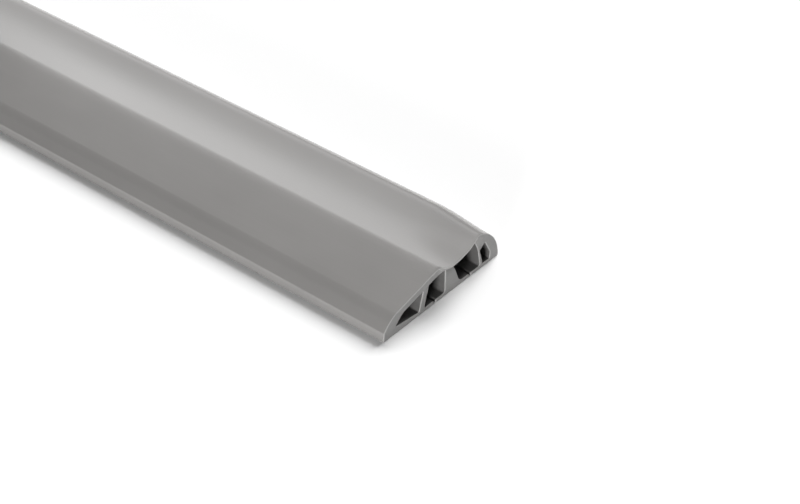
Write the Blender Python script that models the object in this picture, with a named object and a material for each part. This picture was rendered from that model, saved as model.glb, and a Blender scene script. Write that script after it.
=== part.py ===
"""Flexible cable channel: a one metre length of soft PVC floor trunking for two cables.

The channel is extruded in one piece, so it is one solid. Its section runs along X. From the
toe at -Y a long low ramp rises to a ridge near the middle, the top runs on almost level, and
the far side at +Y comes down as a rounded shoulder. Two cable chambers lie side by side under
the top, each open through a slit in the base, and a light core is left open under each side.
One end is cut square. The other is trimmed by hand, so the roof reaches a little further there.
The origin is on the floor, below the middle of the length and of the width.
"""
import math

import bmesh
import bpy

# Overall size, in metres
LENGTH = 1.000
WIDTH = 0.0472
HEIGHT = 0.0115

# Outside of the section, across from the toe and up from the floor
FOOT_RADIUS = 0.0003
TOE_HEIGHT = 0.0027
TOE_LEAN = 0.0003
TOE_RADIUS = 0.0006
RAMP_ACROSS = 0.0034
RAMP_UP = 0.0059
RAMP_RADIUS = 0.006
RIDGE_ACROSS = 0.0212
RIDGE_UP = 0.0102
RIDGE_RADIUS = 0.010
CROWN_FULLNESS = 1.6
SHOULDER_ACROSS = 0.0096
SHOULDER_FULLNESS = 2.0

# Walls
BASE = 0.0011
ROOF = 0.0020
NEAR_DIVIDER = 0.0021
FAR_DIVIDER = 0.0013
FAR_WALL = 0.0034

# Cable chambers, at their floor and at their ceiling, and the slits below them
NEAR_CHAMBER_FLOOR = (0.0157, 0.0238)
NEAR_CHAMBER_CEILING = (0.0174, 0.0238)
FAR_CHAMBER_FLOOR = (0.0300, 0.0394)
FAR_CHAMBER_CEILING = (0.0270, 0.0378)
CHAMBER_RADIUS = 0.0006
WEB_FOOT_RADIUS = 0.0022
SLIT = 0.0008

# Light core under the ramp
CORE_TIP = (0.0045, 0.0022)
CORE_SHOULDER = (0.0074, 0.0048)
CORE_SHOULDER_RADIUS = 0.004
CORE_RADIUS = 0.0003

# Light core inside the far shoulder
SHOULDER_CORE_SPRING_UP = 0.0063
SHOULDER_CORE_TOP = (0.0414, 0.0078)
SHOULDER_CORE_SIDE_UP = 0.0031

# The roof's edge at the trimmed end reaches forward as a shallow tongue
TONGUE_REACH = 0.0023
TONGUE_CENTRE = 0.0239
TONGUE_NEAR_SPREAD = 0.0030
TONGUE_FAR_SPREAD = 0.0150

ARC_STEP = math.radians(12)
ROOF_STEP = 0.0009
SHOULDER_STEPS = 20

PVC_COLOUR = (0.26, 0.256, 0.25, 1.0)
PVC_ROUGHNESS = 0.42


def rounded(corners):
    """Points of a closed outline, with each corner (across, up, radius) turned into an arc."""
    points = []
    for i, (x, z, radius) in enumerate(corners):
        if radius == 0:
            points.append((x, z))
            continue
        before = corners[i - 1]
        after = corners[(i + 1) % len(corners)]
        to_before = math.atan2(before[1] - z, before[0] - x)
        to_after = math.atan2(after[1] - z, after[0] - x)
        opening = (to_after - to_before) % math.tau
        side = 1 if opening > math.pi else -1
        inside = min(opening, math.tau - opening)
        turn = math.pi - inside
        middle = to_before - side * inside / 2
        away = radius / math.sin(inside / 2)
        centre = (x + away * math.cos(middle), z + away * math.sin(middle))
        steps = max(2, math.ceil(turn / ARC_STEP))
        for k in range(steps + 1):
            angle = middle + math.pi + side * turn * (k / steps - 0.5)
            points.append((centre[0] + radius * math.cos(angle), centre[1] + radius * math.sin(angle)))
    return points


def skin_height(across):
    """Height of the outer face over the ramp and over the gently crowned top."""
    if across < RIDGE_ACROSS:
        rise = (RIDGE_UP - RAMP_UP) / (RIDGE_ACROSS - RAMP_ACROSS)
        return RAMP_UP + rise * (across - RAMP_ACROSS)
    to_shoulder = (WIDTH - SHOULDER_ACROSS - across) / (WIDTH - SHOULDER_ACROSS - RIDGE_ACROSS)
    return HEIGHT - (HEIGHT - RIDGE_UP) * max(to_shoulder, 0) ** CROWN_FULLNESS


def under_skin(start, end, depth):
    """Corners without a radius that follow the outer face at a depth, both ends left out."""
    count = round(abs(end - start) / ROOF_STEP)
    across = [start + (end - start) * k / count for k in range(1, count)]
    return [(x, skin_height(x) - depth, 0) for x in across]


def chamber(floor, ceiling, far_foot_radius, near_foot_radius):
    """Corners of one cable chamber, in from the floor through its slit and out again."""
    slit_centre = (floor[0] + floor[1]) / 2
    slit_near = slit_centre - SLIT / 2
    slit_far = slit_centre + SLIT / 2
    corners = [(slit_near, 0, 0), (slit_near, BASE, 0), (floor[0], BASE, near_foot_radius)]
    corners.append((ceiling[0], skin_height(ceiling[0]) - ROOF, CHAMBER_RADIUS))
    corners += under_skin(ceiling[0] + CHAMBER_RADIUS, ceiling[1] - CHAMBER_RADIUS, ROOF)
    corners.append((ceiling[1], skin_height(ceiling[1]) - ROOF, CHAMBER_RADIUS))
    corners.append((floor[1], BASE, far_foot_radius))
    corners += [(slit_far, BASE, 0), (slit_far, 0, 0)]
    return corners


def shoulder():
    """Corners of the rounded far side, from just above the floor up to the top."""
    corners = []
    for k in range(1, SHOULDER_STEPS + 1):
        angle = math.pi / 2 * k / SHOULDER_STEPS
        out = math.cos(angle) ** (2 / SHOULDER_FULLNESS)
        up = math.sin(angle) ** (2 / SHOULDER_FULLNESS)
        corners.append((WIDTH - SHOULDER_ACROSS * (1 - out), HEIGHT * up, 0))
    return corners


def outer_outline():
    """The outside of the section, with both chambers and their slits."""
    corners = [(0, 0, FOOT_RADIUS)]
    corners += chamber(NEAR_CHAMBER_FLOOR, NEAR_CHAMBER_CEILING, CHAMBER_RADIUS, CHAMBER_RADIUS)
    corners += chamber(FAR_CHAMBER_FLOOR, FAR_CHAMBER_CEILING, CHAMBER_RADIUS, WEB_FOOT_RADIUS)
    corners.append((WIDTH, 0, FOOT_RADIUS))
    corners += shoulder()
    corners += under_skin(WIDTH - SHOULDER_ACROSS, RIDGE_ACROSS, 0)
    corners.append((RIDGE_ACROSS, RIDGE_UP, RIDGE_RADIUS))
    corners.append((RAMP_ACROSS, RAMP_UP, RAMP_RADIUS))
    corners.append((TOE_LEAN, TOE_HEIGHT, TOE_RADIUS))
    return rounded(corners)


def ramp_core():
    """The light core under the ramp, between the solid toe and the near divider."""
    foot = NEAR_CHAMBER_FLOOR[0] - NEAR_DIVIDER
    top = NEAR_CHAMBER_CEILING[0] - NEAR_DIVIDER
    return rounded([
        (*CORE_TIP, CORE_RADIUS),
        (foot, BASE, CORE_RADIUS),
        (top, skin_height(top) - ROOF, CORE_RADIUS),
        (*CORE_SHOULDER, CORE_SHOULDER_RADIUS),
    ])


def shoulder_core():
    """The light core inside the far shoulder, beyond the far divider."""
    foot = FAR_CHAMBER_FLOOR[1] + FAR_DIVIDER
    spring = FAR_CHAMBER_CEILING[1] + FAR_DIVIDER
    right = WIDTH - FAR_WALL
    return rounded([
        (foot, BASE, CORE_RADIUS),
        (right - CORE_RADIUS, BASE, CORE_RADIUS),
        (right, SHOULDER_CORE_SIDE_UP, CORE_RADIUS),
        (*SHOULDER_CORE_TOP, CORE_RADIUS),
        (spring, SHOULDER_CORE_SPRING_UP, CORE_RADIUS),
    ])


def smooth(value, start, end):
    """Runs smoothly from 0 at start to 1 at end."""
    part = min(max((value - start) / (end - start), 0), 1)
    return part * part * (3 - 2 * part)


def tongue(across, up):
    """How far the trimmed end reaches past the end plane at one place of the section.

    It is fullest above the web, falls off quickly towards the ramp and slowly towards the far side,
    and grows through the thickness of the roof, from nothing at the ceilings to all of it on top.
    """
    if across < TONGUE_CENTRE:
        reach = smooth(across, TONGUE_CENTRE - TONGUE_NEAR_SPREAD, TONGUE_CENTRE)
    else:
        reach = 1 - min((across - TONGUE_CENTRE) / TONGUE_FAR_SPREAD, 1) ** 2
    skin = skin_height(across)
    return TONGUE_REACH * reach * smooth(up, skin - ROOF, skin - FOOT_RADIUS)


def extrude_section(name, outlines):
    """Fill the outlines as one face, the first outside and the others as holes, and extrude it."""
    bm = bmesh.new()
    edges = []
    for outline in outlines:
        ring = [bm.verts.new((-LENGTH / 2, across - WIDTH / 2, up)) for across, up in outline]
        edges += [bm.edges.new((ring[i - 1], ring[i])) for i in range(len(ring))]
    bmesh.ops.triangle_fill(bm, use_beauty=True, use_dissolve=False, edges=edges)
    result = bmesh.ops.extrude_face_region(bm, geom=bm.faces[:], use_keep_orig=True)
    for vert in [item for item in result["geom"] if isinstance(item, bmesh.types.BMVert)]:
        vert.co.x = LENGTH / 2 - TONGUE_REACH + tongue(vert.co.y + WIDTH / 2, vert.co.z)
    bmesh.ops.recalc_face_normals(bm, faces=bm.faces[:])
    mesh = bpy.data.meshes.new(name)
    bm.to_mesh(mesh)
    bm.free()
    mesh.shade_smooth()
    mesh.set_sharp_from_angle(angle=math.radians(30))
    obj = bpy.data.objects.new(name, mesh)
    bpy.context.scene.collection.objects.link(obj)
    return obj


def soft_pvc():
    """Grey soft PVC with a satin skin, as it comes off the extruder."""
    material = bpy.data.materials.new("grey_pvc")
    material.use_nodes = True
    shader = material.node_tree.nodes["Principled BSDF"]
    shader.inputs["Base Color"].default_value = PVC_COLOUR
    shader.inputs["Roughness"].default_value = PVC_ROUGHNESS
    shader.inputs["Metallic"].default_value = 0
    return material


for old in list(bpy.data.objects):
    bpy.data.objects.remove(old, do_unlink=True)

channel = extrude_section("cable_channel", [outer_outline(), ramp_core(), shoulder_core()])
channel.data.materials.append(soft_pvc())
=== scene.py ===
"""The looks of a flexible cable channel: one length of soft grey PVC, extruded and trimmed by hand.

Everything is in metres in the frame of the solid model. X runs along the channel, the toe of its
ramp is at -Y, its rounded far side at +Y, and the floor is at Z = 0.
"""

import math

import bmesh
import bpy
from mathutils import Matrix, Vector


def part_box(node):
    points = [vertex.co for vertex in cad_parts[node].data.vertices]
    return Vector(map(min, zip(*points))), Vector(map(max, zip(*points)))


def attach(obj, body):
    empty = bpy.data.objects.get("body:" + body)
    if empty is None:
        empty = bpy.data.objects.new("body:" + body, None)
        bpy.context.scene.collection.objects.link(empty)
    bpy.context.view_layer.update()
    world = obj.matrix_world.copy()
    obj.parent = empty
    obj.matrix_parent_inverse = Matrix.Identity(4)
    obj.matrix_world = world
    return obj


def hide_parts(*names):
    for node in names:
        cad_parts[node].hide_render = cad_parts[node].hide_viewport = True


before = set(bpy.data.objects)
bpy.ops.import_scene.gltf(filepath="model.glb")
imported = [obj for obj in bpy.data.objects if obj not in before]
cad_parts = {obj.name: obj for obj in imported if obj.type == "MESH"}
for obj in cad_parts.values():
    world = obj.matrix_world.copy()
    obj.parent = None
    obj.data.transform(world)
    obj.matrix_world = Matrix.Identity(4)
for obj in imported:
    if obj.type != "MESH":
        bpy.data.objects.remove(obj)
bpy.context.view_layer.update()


# The channel's outside
# It is one piece of soft PVC pushed hot through a die, so its section is the same all the way.
# Here it is planed from a block: the far side is rounded first, then the crowned top, the ramp, the
# toe and the floor are cut to their slopes, and the edges between them are softened.
low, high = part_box("cable_channel")

WIDTH = 0.0472
HEIGHT = high.z - low.z
FOOT_RADIUS = 0.0003
TOE = (0.0003, 0.0027)
TOE_RADIUS = 0.0006
RAMP_FOOT = (0.0034, 0.0059)
RAMP_FOOT_RADIUS = 0.006
RIDGE = (0.0212, 0.0102)
RIDGE_BLEND_CROWN = 0.0008
RIDGE_BLEND_RAMP = 0.0030
RIDGE_CUTS = 8
CROWN_FULLNESS = 1.6
CROWN_CUTS = 12
CROWN_END = 0.0376
SHOULDER_STEPS = 32
ARC_STEP = math.radians(6)
SPARE = 0.002
NEARLY = 0.000001

RIM = 0.0002
TONGUE_REACH = 0.0023
start_x = low.x + RIM
end_x = high.x - TONGUE_REACH - RIM


def alone(obj):
    """Selects one object and makes it the active one, with everything else deselected."""
    bpy.ops.object.select_all(action="DESELECT")
    obj.select_set(True)
    bpy.context.view_layer.objects.active = obj


def spot(across, up):
    """Y and Z of a point of the section, given across from the toe and up from the floor."""
    return across - WIDTH / 2, low.z + up


def block(name, x_span, across_span, up_span):
    """A block that fills three spans, with its place in its mesh."""
    near, bottom = spot(across_span[0], up_span[0])
    far, top = spot(across_span[1], up_span[1])
    middle = (sum(x_span) / 2, (near + far) / 2, (bottom + top) / 2)
    size = (x_span[1] - x_span[0], far - near, top - bottom)
    bpy.ops.object.select_all(action="DESELECT")
    bpy.ops.mesh.primitive_cube_add(size=1, location=middle, scale=size)
    obj = bpy.context.object
    obj.name = name
    obj.data.name = name
    bpy.ops.object.transform_apply(location=True, rotation=True, scale=True)
    return obj


def plane_off(obj, start, end):
    """Cuts off what lies right of a line across the section, seen along -X, and closes the cut."""
    y0, z0 = spot(*start)
    y1, z1 = spot(*end)
    outwards = Vector((0, z1 - z0, y0 - y1)).normalized()
    alone(obj)
    bpy.ops.object.mode_set(mode="EDIT")
    bpy.ops.mesh.select_all(action="SELECT")
    bpy.ops.mesh.bisect(
        plane_co=(0, y0, z0),
        plane_no=outwards,
        use_fill=True,
        clear_outer=True,
        threshold=NEARLY / 10,
    )
    bpy.ops.object.mode_set(mode="OBJECT")


def soften(obj, corner, radius, steps=None):
    """Rounds the long edge at one corner of the section to a radius, in as few steps as look round."""
    y, z = spot(*corner)
    alone(obj)
    bpy.ops.object.mode_set(mode="EDIT")
    bpy.ops.mesh.select_mode(type="EDGE")
    bpy.ops.mesh.select_all(action="DESELECT")
    turn = 0
    for edge in bmesh.from_edit_mesh(obj.data).edges:
        a, b = (vert.co for vert in edge.verts)
        if abs(a.x - b.x) > SPARE and abs(a.y - y) + abs(a.z - z) < 2 * NEARLY:
            edge.select_set(True)
            turn = edge.calc_face_angle()
    bmesh.update_edit_mesh(obj.data)
    bpy.ops.mesh.bevel(
        offset=radius * math.tan(turn / 2),
        segments=steps or max(3, math.ceil(turn / ARC_STEP)),
        affect="EDGES",
        clamp_overlap=False,
    )
    bpy.ops.object.mode_set(mode="OBJECT")


def crown(across):
    """Height of the gently crowned top between the ridge and the far shoulder."""
    left = (CROWN_END - across) / (CROWN_END - RIDGE[0])
    return HEIGHT - (HEIGHT - RIDGE[1]) * max(left, 0) ** CROWN_FULLNESS


def ramp(across):
    """Height of the straight ramp between its foot and the ridge."""
    rise = (RIDGE[1] - RAMP_FOOT[1]) / (RIDGE[0] - RAMP_FOOT[0])
    return RAMP_FOOT[1] + rise * (across - RAMP_FOOT[0])


channel = block("channel", (start_x, end_x), (0, WIDTH), (-SPARE, WIDTH - CROWN_END))
soften(channel, (WIDTH, WIDTH - CROWN_END), WIDTH - CROWN_END, SHOULDER_STEPS)
bpy.ops.object.mode_set(mode="EDIT")
bpy.ops.mesh.select_all(action="SELECT")
bpy.ops.transform.resize(
    value=(1, 1, HEIGHT / (WIDTH - CROWN_END)), center_override=(0, 0, low.z)
)
bpy.ops.object.mode_set(mode="OBJECT")

crown_stop = RIDGE[0] + RIDGE_BLEND_CROWN
ramp_start = RIDGE[0] - RIDGE_BLEND_RAMP
flanks = []
for k in range(CROWN_CUTS):
    across = CROWN_END + (crown_stop - CROWN_END) * k / CROWN_CUTS
    flanks.append((across, crown(across)))
for k in range(RIDGE_CUTS + 1):
    part = k / RIDGE_CUTS
    before, at, after = (1 - part) ** 2, 2 * part * (1 - part), part ** 2
    across = before * crown_stop + at * RIDGE[0] + after * ramp_start
    up = before * crown(crown_stop) + at * RIDGE[1] + after * ramp(ramp_start)
    flanks.append((across, up))
flanks += [RAMP_FOOT, TOE, (0, 0), (WIDTH, 0)]
for start, end in zip(flanks[:-1], flanks[1:]):
    plane_off(channel, start, end)

soften(channel, RAMP_FOOT, RAMP_FOOT_RADIUS)
soften(channel, TOE, TOE_RADIUS)
soften(channel, (0, 0), FOOT_RADIUS)
soften(channel, (WIDTH, 0), FOOT_RADIUS)


# The two cable chambers and the slits under them
# The die's cores leave them open all the way. A cable goes in from below, through a slit that the
# soft lips of the base close again. The thick web between them carries the load of a footstep.
BASE = 0.0011
ROOF = 0.0020
CHAMBER_RADIUS = 0.0006
WEB_FOOT_RADIUS = 0.0022
ROOF_STEP = 0.0011
SLIT = 0.0008
LIP_RADIUS = 0.0002

NEAR_CHAMBER_FLOOR = (0.0157, 0.0238)
NEAR_CHAMBER_CEILING = (0.0174, 0.0238)
FAR_CHAMBER_FLOOR = (0.0300, 0.0394)
FAR_CHAMBER_CEILING = (0.0270, 0.0378)


def skin(across):
    """Height of the outer face over the ramp and the crown."""
    return crown(across) if across > RIDGE[0] else ramp(across)


def under_roof(ceiling):
    """Points of a chamber's ceiling, from its far side to its near side."""
    bend = max(ceiling[0], RIDGE[0])
    steps = round((ceiling[1] - bend) / ROOF_STEP)
    points = [ceiling[1] + (bend - ceiling[1]) * k / steps for k in range(steps + 1)]
    if ceiling[0] < bend:
        points.append(ceiling[0])
    return [(across, skin(across) - ROOF) for across in points]


def core(name, outline):
    """A bar a little longer than the channel, planed to an outline that bulges outwards."""
    across = [corner[0] for corner in outline]
    up = [corner[1] for corner in outline]
    bar = block(
        name,
        (start_x - SPARE, end_x + SPARE),
        (min(across) - SPARE, max(across) + SPARE),
        (min(up) - SPARE, max(up) + SPARE),
    )
    for start, end in zip(outline, outline[1:] + outline[:1]):
        plane_off(bar, start, end)
    return bar


def leave_open(obj, cutter):
    """Takes a cutter's room out of an object."""
    alone(obj)
    cut = obj.modifiers.new("cut", "BOOLEAN")
    cut.operation = "DIFFERENCE"
    cut.solver = "EXACT"
    cut.object = cutter
    bpy.ops.object.modifier_apply(modifier="cut")
    bpy.data.objects.remove(cutter, do_unlink=True)


for name, floor, ceiling, near_foot_radius in (
    ("near_chamber", NEAR_CHAMBER_FLOOR, NEAR_CHAMBER_CEILING, CHAMBER_RADIUS),
    ("far_chamber", FAR_CHAMBER_FLOOR, FAR_CHAMBER_CEILING, WEB_FOOT_RADIUS),
):
    foot_near = (floor[0], BASE)
    foot_far = (floor[1], BASE)
    roof = under_roof(ceiling)
    chamber = core(name, [foot_near, foot_far] + roof)
    soften(chamber, foot_near, near_foot_radius)
    soften(chamber, foot_far, CHAMBER_RADIUS)
    soften(chamber, roof[0], CHAMBER_RADIUS)
    soften(chamber, roof[-1], CHAMBER_RADIUS)
    leave_open(channel, chamber)

    middle = sum(floor) / 2
    slit_near = middle - SLIT / 2
    slit_far = middle + SLIT / 2
    slit = block("slit", (start_x - SPARE, end_x + SPARE), (slit_near, slit_far), (-SPARE, 2 * BASE))
    leave_open(channel, slit)
    for across in (slit_near, slit_far):
        soften(channel, (across, 0), LIP_RADIUS)
        soften(channel, (across, BASE), LIP_RADIUS)


# The light cores under the ramp and inside the far shoulder
# The die leaves them open too, and they hold nothing. They save PVC, and let the sides give a
# little underfoot. Thin dividers part them from the chambers.
CORE_RADIUS = 0.0003
CORE_SHOULDER_RADIUS = 0.004
RAMP_CORE_TIP = (0.0045, 0.0022)
RAMP_CORE_SHOULDER = (0.0074, 0.0048)
SHOULDER_CORE_SIDE_UP = 0.0031
SHOULDER_CORE_TOP = (0.0414, 0.0078)
SHOULDER_CORE_SPRING_UP = 0.0063
NEAR_DIVIDER = 0.0021
FAR_DIVIDER = 0.0013
FAR_WALL = 0.0034

top_across = NEAR_CHAMBER_CEILING[0] - NEAR_DIVIDER
ramp_core_foot = (NEAR_CHAMBER_FLOOR[0] - NEAR_DIVIDER, BASE)
ramp_core_top = (top_across, skin(top_across) - ROOF)
ramp_core = core("ramp_core", [RAMP_CORE_TIP, ramp_core_foot, ramp_core_top, RAMP_CORE_SHOULDER])
for corner in (RAMP_CORE_TIP, ramp_core_foot, ramp_core_top):
    soften(ramp_core, corner, CORE_RADIUS)
soften(ramp_core, RAMP_CORE_SHOULDER, CORE_SHOULDER_RADIUS)
leave_open(channel, ramp_core)

shoulder_core_outline = [
    (FAR_CHAMBER_FLOOR[1] + FAR_DIVIDER, BASE),
    (WIDTH - FAR_WALL - CORE_RADIUS, BASE),
    (WIDTH - FAR_WALL, SHOULDER_CORE_SIDE_UP),
    SHOULDER_CORE_TOP,
    (FAR_CHAMBER_CEILING[1] + FAR_DIVIDER, SHOULDER_CORE_SPRING_UP),
]
shoulder_core = core("shoulder_core", shoulder_core_outline)
for corner in shoulder_core_outline:
    soften(shoulder_core, corner, CORE_RADIUS)
leave_open(channel, shoulder_core)


# The two ends
# One end is cut square at the works. The other was trimmed by hand, and its roof reaches forward in
# a shallow tongue. Behind that cut the far side is pressed in and the roof sags, because soft PVC
# gives where it is handled. The edges of both cuts are a little rounded.
TONGUE_CENTRE = 0.0239
TONGUE_NEAR_SPREAD = 0.0030
TONGUE_FAR_SPREAD = 0.0150
TONGUE_SLANT = 0.0010
SLANT_FADE = 0.0030
WAVER = 0.00006
WAVER_LENGTHS = (0.0071, 0.0043)

END_FACING = 0.9
RIM_STEPS = 3
CUT_CELL = 0.0006
CUT_SLOT = 1
HIGHLIGHT_RIM_SLOT = 2
SHADED_INSIDE_SLOT = 3
CLEAR_OF_FACE = 0.00001

PRESSED_LENGTH = 0.018
PRESSED_CUTS = 22
PRESSED_ACROSS = (0.0240, 0.0440)
PRESSED_IN = 0.0016
PRESSED_DOWN = 0.0005
SAG_ACROSS = (0.0220, 0.0305, 0.0400)
SAG_DEPTH = 0.0003
SHARP_ANGLE = math.radians(35)


def smooth(value, start, end):
    """Runs smoothly from 0 at start to 1 at end."""
    part = min(max((value - start) / (end - start), 0), 1)
    return part * part * (3 - 2 * part)


def tongue(across, up):
    """How far the trimmed end reaches past its end plane at one place of the section.

    The blade was slanted, so the top of the roof reaches forward and its underside falls back.
    """
    if across < TONGUE_CENTRE:
        reach = smooth(across, TONGUE_CENTRE - TONGUE_NEAR_SPREAD, TONGUE_CENTRE)
    else:
        reach = 1 - min((across - TONGUE_CENTRE) / TONGUE_FAR_SPREAD, 1) ** 2
    under = skin(across) - ROOF
    forward = TONGUE_REACH * reach * smooth(up, under - CHAMBER_RADIUS / 2, under + ROOF)
    slanted = smooth(across, TONGUE_CENTRE, TONGUE_CENTRE + TONGUE_NEAR_SPREAD)
    far_corner = FAR_CHAMBER_CEILING[1]
    slanted *= 1 - smooth(across, far_corner - CHAMBER_RADIUS, far_corner + ROOF)
    fallen = smooth(up, under - SLANT_FADE, under) * (1 - smooth(up, under, under + ROOF))
    return forward - TONGUE_SLANT * slanted * fallen


def waver(across, up):
    """How far the hand-held knife fell back from a true line at one place of the section."""
    first, second = WAVER_LENGTHS
    wave = math.sin(math.tau * (across + up) / first)
    wave += math.sin(math.tau * (across - 2 * up) / second)
    return WAVER * (wave - 2) / 4


def select_faces(obj, test):
    """In edit mode, selects the faces that pass a test, and nothing else."""
    bpy.ops.mesh.select_mode(type="FACE")
    bpy.ops.mesh.select_all(action="DESELECT")
    for face in bmesh.from_edit_mesh(obj.data).faces:
        if test(face):
            face.select_set(True)
    bmesh.update_edit_mesh(obj.data)


alone(channel)
bpy.ops.object.mode_set(mode="EDIT")
select_faces(channel, lambda face: abs(face.normal.x) > END_FACING)
for k in range(RIM_STEPS):
    before = math.tau / 4 * k / RIM_STEPS
    after = math.tau / 4 * (k + 1) / RIM_STEPS
    inwards = RIM * (math.cos(before) - math.cos(after))
    outwards = RIM * (math.sin(after) - math.sin(before))
    bpy.ops.mesh.inset(thickness=inwards, depth=outwards)

columns = math.ceil(WIDTH / CUT_CELL)
rows = math.ceil(HEIGHT / CUT_CELL)
cuts = [((WIDTH * k / columns, 0), (0, 1, 0)) for k in range(1, columns)]
cuts += [((0, HEIGHT * k / rows), (0, 0, 1)) for k in range(1, rows)]
for point, direction in cuts:
    select_faces(channel, lambda face: min(vert.co.x for vert in face.verts) > end_x - NEARLY)
    bpy.ops.mesh.bisect(plane_co=(0, *spot(*point)), plane_no=direction, threshold=NEARLY)

for k in range(1, PRESSED_CUTS + 1):
    behind = PRESSED_LENGTH * k / PRESSED_CUTS
    bpy.ops.mesh.select_all(action="SELECT")
    bpy.ops.mesh.bisect(plane_co=(end_x - behind, 0, 0), plane_no=(1, 0, 0), threshold=NEARLY / 10)
bpy.ops.object.mode_set(mode="OBJECT")

bpy.context.view_layer.update()
# The cut faces get the cut finish, and their rounded rims get the painted highlight.
for face in channel.data.polygons:
    corners = [channel.data.vertices[i].co.x for i in face.vertices]
    past = [max(x - end_x, start_x - x) for x in corners]
    if min(past) > RIM - NEARLY:
        face.material_index = CUT_SLOT
    elif max(past) > NEARLY:
        face.material_index = HIGHLIGHT_RIM_SLOT
    # Faces that look into a chamber or core get the painted shade.
    elif channel.ray_cast(face.center + face.normal * CLEAR_OF_FACE, face.normal)[0]:
        face.material_index = SHADED_INSIDE_SLOT

for vert in channel.data.vertices:
    across = vert.co.y + WIDTH / 2
    up = vert.co.z - low.z
    handled = smooth(vert.co.x, end_x - PRESSED_LENGTH, end_x + TONGUE_REACH)
    pressed = handled * smooth(across, *PRESSED_ACROSS)
    sagged = smooth(across, *SAG_ACROSS[:2]) * (1 - smooth(across, *SAG_ACROSS[1:]))
    sagged *= handled * smooth(up, BASE, skin(across) - ROOF)
    if vert.co.x > end_x - NEARLY:
        vert.co.x += tongue(across, up) + waver(across, up)
    vert.co.y -= PRESSED_IN * pressed
    vert.co.z -= PRESSED_DOWN * pressed * up / HEIGHT + SAG_DEPTH * sagged

alone(channel)
bpy.ops.object.shade_smooth_by_angle(angle=SHARP_ANGLE)
weigh = channel.modifiers.new("even_shading", "WEIGHTED_NORMAL")
weigh.keep_sharp = True
bpy.ops.object.modifier_apply(modifier="even_shading")


# The PVC
# Soft PVC is coloured right through. Its skin comes off the die satin, with faint lines along the
# length and a slight mottle. A cut face is duller, with the drag marks of the knife, and its rounded
# rim is painted paler, a painted highlight with scuffs. The insides are dull, with painted shade.
SKIN_COLOUR = (0.241, 0.235, 0.229)
SKIN_ROUGHNESS = 0.21
SKIN_RELIEF = 0.000003
SKIN_MOTTLE = 0.05
MOTTLE_SIZE = (0.030, 0.012, 0.012)
MOTTLE_SHEEN = 0.03
LINE_SHARE = 0.4
LINE_SIZE = (0.5, 0.0005, 0.0005)
LINE_SHEEN = 0.02
GRAIN_SIZE = (0.00035, 0.00035, 0.00035)

CUT_COLOUR = (0.225, 0.222, 0.218)
CUT_ROUGHNESS = 0.55
CUT_RELIEF = 0.00001
CUT_DRAG = 0.06
DRAG_SIZE = (0.01, 0.004, 0.00012)
DRAG_ANGLE = math.radians(25)
CUT_NICKS = 0.05
NICK_SHARE = 0.5
NICK_SIZE = (0.0006, 0.0006, 0.0006)

# Painted highlight: the rims of the cuts are painted paler than the cut face, so they show as bright
# lines.
RIM_HIGHLIGHT_COLOUR = (0.32, 0.316, 0.31)
RIM_SCUFFS = 0.15
SCUFF_SIZE = (0.0008, 0.0008, 0.0008)

# Painted shade: the insides of the chambers and cores are painted far darker than the skin.
INSIDE_SHADE_COLOUR = (0.105, 0.103, 0.101)
INSIDE_ROUGHNESS = 0.6
INSIDE_CLOUDS = 0.2
CLOUD_SIZE = (0.004, 0.0015, 0.0015)


class Amount:
    """A socket that carries a number, on which Python's operators add Math nodes."""

    def __init__(self, finish, socket):
        self.finish = finish
        self.socket = socket

    def worked_out(self, operation, first, second):
        node = self.finish.add("ShaderNodeMath", {"operation": operation}, {0: first, 1: second})
        return Amount(self.finish, node.outputs[0])

    def __add__(self, other):
        return self.worked_out("ADD", self, other)

    def __radd__(self, other):
        return self.worked_out("ADD", other, self)

    def __sub__(self, other):
        return self.worked_out("SUBTRACT", self, other)

    def __mul__(self, other):
        return self.worked_out("MULTIPLY", self, other)

    def __rmul__(self, other):
        return self.worked_out("MULTIPLY", other, self)


class Finish:
    """A material on a Principled shader, with its pattern worked out from Object coordinates."""

    def __init__(self, name):
        self.material = bpy.data.materials.new(name)
        self.material.use_nodes = True
        self.tree = self.material.node_tree
        self.shader = self.tree.nodes["Principled BSDF"]
        self.place = self.add("ShaderNodeTexCoord").outputs["Object"]

    def add(self, kind, settings=None, sockets=None):
        """Adds a node, sets it up, then gives its sockets their values or links."""
        node = self.tree.nodes.new(kind)
        for key, value in (settings or {}).items():
            setattr(node, key, value)
        self.set(node, sockets or {})
        return node

    def set(self, node, sockets):
        """Gives a node's sockets their values or links."""
        for key, value in sockets.items():
            if isinstance(value, Amount):
                value = value.socket
            if isinstance(value, bpy.types.NodeSocket):
                self.tree.links.new(value, node.inputs[key])
            else:
                node.inputs[key].default_value = value

    def noise(self, stretch, detail=2.0, turn=(0, 0, 0)):
        """A soft noise from about -1 to 1, whose grain has the three sizes given, in metres."""
        scale = tuple(1 / size for size in stretch)
        place = self.add(
            "ShaderNodeMapping", sockets={"Vector": self.place, "Scale": scale, "Rotation": turn}
        )
        texture = self.add(
            "ShaderNodeTexNoise", sockets={"Vector": place.outputs[0], "Scale": 1.0, "Detail": detail}
        )
        return (Amount(self, texture.outputs[0]) - 0.5) * 2

    def tint(self, colour, change):
        """A colour made lighter and darker by an amount around 0."""
        node = self.add("ShaderNodeVectorMath", {"operation": "SCALE"}, {0: colour, "Scale": 1 + change})
        return node.outputs[0]

    def bump(self, height, distance):
        """The surface normal with a height of -1 to 1 times a distance in metres."""
        node = self.add(
            "ShaderNodeBump", sockets={"Height": height, "Distance": distance, "Strength": 1.0}
        )
        return node.outputs[0]


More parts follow.
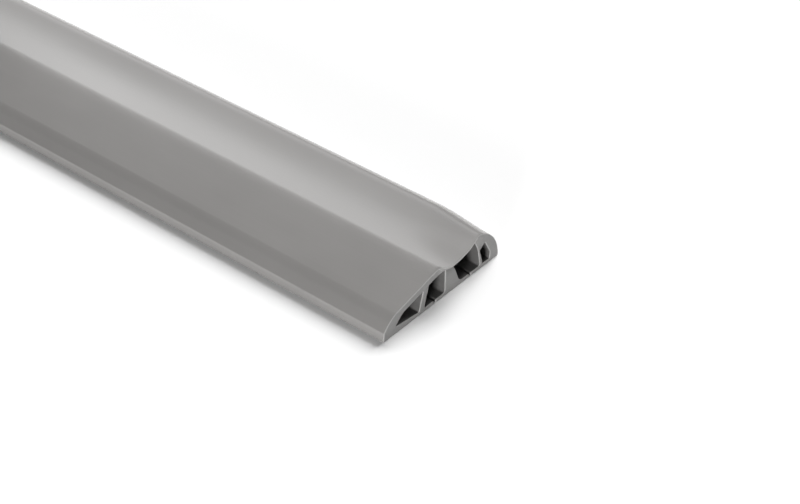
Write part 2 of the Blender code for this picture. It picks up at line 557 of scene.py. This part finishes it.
skin_finish = Finish("grey_pvc_skin")
mottle = skin_finish.noise(MOTTLE_SIZE)
die_lines = skin_finish.noise(LINE_SIZE, detail=3.0)
grain = skin_finish.noise(GRAIN_SIZE, detail=1.0)
skin_finish.set(skin_finish.shader, {
    "Base Color": skin_finish.tint(SKIN_COLOUR, SKIN_MOTTLE * (mottle + LINE_SHARE * die_lines)),
    "Roughness": SKIN_ROUGHNESS + MOTTLE_SHEEN * mottle + LINE_SHEEN * die_lines,
    "Normal": skin_finish.bump((1 - LINE_SHARE) * grain + LINE_SHARE * die_lines, SKIN_RELIEF),
    "Metallic": 0.0,
})

cut_finish = Finish("grey_pvc_cut")
drag = cut_finish.noise(DRAG_SIZE, detail=3.0, turn=(DRAG_ANGLE, 0, 0))
nicks = cut_finish.noise(NICK_SIZE)
cut_finish.set(cut_finish.shader, {
    "Base Color": cut_finish.tint(CUT_COLOUR, CUT_DRAG * drag + CUT_NICKS * nicks),
    "Roughness": CUT_ROUGHNESS + CUT_DRAG * drag,
    "Normal": cut_finish.bump(drag + NICK_SHARE * nicks, CUT_RELIEF),
    "Metallic": 0.0,
})

# The rims' material is a painted highlight: a pale colour with scuffs.
rim_highlight_finish = Finish("grey_pvc_rim_highlight")
scuffs = rim_highlight_finish.noise(SCUFF_SIZE)
rim_highlight_finish.set(rim_highlight_finish.shader, {
    "Base Color": rim_highlight_finish.tint(RIM_HIGHLIGHT_COLOUR, RIM_SCUFFS * scuffs),
    "Roughness": CUT_ROUGHNESS,
    "Metallic": 0.0,
})

# The insides' material is painted shade: a dark colour with soft clouds.
inside_shade_finish = Finish("grey_pvc_inside_shade")
clouds = inside_shade_finish.noise(CLOUD_SIZE)
inside_shade_finish.set(inside_shade_finish.shader, {
    "Base Color": inside_shade_finish.tint(INSIDE_SHADE_COLOUR, INSIDE_CLOUDS * clouds),
    "Roughness": INSIDE_ROUGHNESS,
    "Metallic": 0.0,
})

for finish in (skin_finish, cut_finish, rim_highlight_finish, inside_shade_finish):
    channel.data.materials.append(finish.material)

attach(channel, "root")
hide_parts("cable_channel")


# The floor, the light and the camera
# The channel lies on a plain white studio floor. A soft key from behind puts a short shadow in front
# of the toe, a long strip shines along the ridge, a round lamp by the floor opens the toe and the
# trimmed end, and a faint glow edges the far side.
FLOOR_SIZE = 12.0
FLOOR_DROP = 0.00003
FLOOR_COLOUR = (0.97, 0.97, 0.97, 1.0)
FLOOR_ROUGHNESS = 0.9
STRIP_DISTANCE = 1.5
STRIP_WIDTH = 0.30
STRIP_SPARE = 0.34
# Two places along the ridge, and the azimuth and elevation at which each sees its end of the strip
STRIP_SEEN_FROM = ((0.34, 149, 43), (0.46, 137, 50))
WORLD_COLOUR = (1.0, 1.0, 1.0, 1.0)
WORLD_STRENGTH = 0.05

PHOTO_WIDTH = 800
PHOTO_HEIGHT = 504
CAMERA_AZIMUTH = math.radians(39.964)
CAMERA_ELEVATION = math.radians(37.84)
SENSOR = 36.0
LENS = 80.14
# Where the toe's corner at the trimmed end lies in the photograph, and how deep in front of the camera
TOE_PIXEL = (383.5, 343.5)
TOE_DEPTH = 0.43185
CLIP_START = 0.01


def studio_floor():
    """A white floor far bigger than the object."""
    bpy.ops.object.select_all(action="DESELECT")
    bpy.ops.mesh.primitive_plane_add(size=FLOOR_SIZE, location=(0, 0, low.z - FLOOR_DROP))
    floor = bpy.context.object
    floor.name = "studio_floor"
    bpy.ops.object.transform_apply(location=True, rotation=True, scale=True)
    finish = Finish("floor_white")
    finish.set(finish.shader, {"Base Color": FLOOR_COLOUR, "Roughness": FLOOR_ROUGHNESS})
    floor.data.materials.append(finish.material)
    return floor


def heading(azimuth, elevation):
    """Unit vector towards a place in the studio, by its angle from +X and its height, in degrees."""
    a, e = math.radians(azimuth), math.radians(elevation)
    return Vector((math.cos(a) * math.cos(e), math.sin(a) * math.cos(e), math.sin(e)))


def new_light(kind, name, location, power, mirrored):
    """A light of one kind. Where it isn't mirrored, no gloss shows its glare."""
    bpy.ops.object.light_add(type=kind, location=location)
    lamp = bpy.context.object
    lamp.name = name
    lamp.data.energy = power
    lamp.visible_glossy = mirrored
    return lamp


def far_light(name, azimuth, elevation, power, spread, mirrored):
    """A light far off, whose disc is as many degrees across as its spread."""
    lamp = new_light("SUN", name, (0, 0, 0), power, mirrored)
    lamp.rotation_euler = heading(azimuth, elevation).to_track_quat("Z", "Y").to_euler()
    lamp.data.angle = math.radians(spread)


def round_lamp(name, azimuth, elevation, away, radius, power, mirrored):
    """A frosted ball of light at a distance from the shown end."""
    place = shown_end + heading(azimuth, elevation) * away
    lamp = new_light("POINT", name, place, power, mirrored)
    lamp.data.shadow_soft_size = radius


def strip_light(name, start, end, power, mirrored):
    """A long narrow soft box from start to end and a little past both, facing the shown end."""
    middle = (start + end) / 2
    lamp = new_light("AREA", name, middle, power, mirrored)
    towards = (middle - shown_end).normalized()
    side = towards.cross(end - start).normalized()
    along = side.cross(towards).normalized()
    lamp.rotation_euler = Matrix((along, side, towards)).transposed().to_euler()
    lamp.data.shape = "RECTANGLE"
    lamp.data.size = (end - start).length + STRIP_SPARE
    lamp.data.size_y = STRIP_WIDTH


studio_floor()

shown_end = Vector((end_x, 0, HEIGHT / 2))
far_light("back_key", azimuth=96, elevation=37, power=4.25, spread=34, mirrored=False)
strip_start, strip_end = (
    Vector((x, 0, HEIGHT)) + heading(azimuth, elevation) * STRIP_DISTANCE
    for x, azimuth, elevation in STRIP_SEEN_FROM
)
strip_light("ridge_strip", strip_start, strip_end, power=3.35, mirrored=True)
round_lamp("toe_lamp", azimuth=-70, elevation=7, away=0.7, radius=0.1, power=21, mirrored=False)
far_light("rear_glow", azimuth=137, elevation=24, power=0.45, spread=40, mirrored=True)

world = bpy.data.worlds.new("studio")
bpy.context.scene.world = world
world.use_nodes = True
backdrop = world.node_tree.nodes["Background"]
backdrop.inputs["Color"].default_value = WORLD_COLOUR
backdrop.inputs["Strength"].default_value = WORLD_STRENGTH
bpy.context.scene.view_settings.view_transform = "Standard"

toe_corner = Vector((end_x + RIM, -WIDTH / 2, low.z))
right = Vector((math.cos(CAMERA_AZIMUTH), math.sin(CAMERA_AZIMUTH), 0))
back = heading(math.degrees(CAMERA_AZIMUTH) - 90, math.degrees(CAMERA_ELEVATION))
above = back.cross(right)
focal = LENS / SENSOR * PHOTO_WIDTH
to_right = TOE_DEPTH * (TOE_PIXEL[0] - PHOTO_WIDTH / 2) / focal
to_top = TOE_DEPTH * (PHOTO_HEIGHT / 2 - TOE_PIXEL[1]) / focal
place = toe_corner - right * to_right - above * to_top + back * TOE_DEPTH
bpy.ops.object.camera_add(location=place)
camera = bpy.context.object
camera.rotation_euler = back.to_track_quat("Z", "Y").to_euler()
camera.data.sensor_width = SENSOR
camera.data.lens = LENS
camera.data.clip_start = CLIP_START
bpy.context.scene.camera = camera
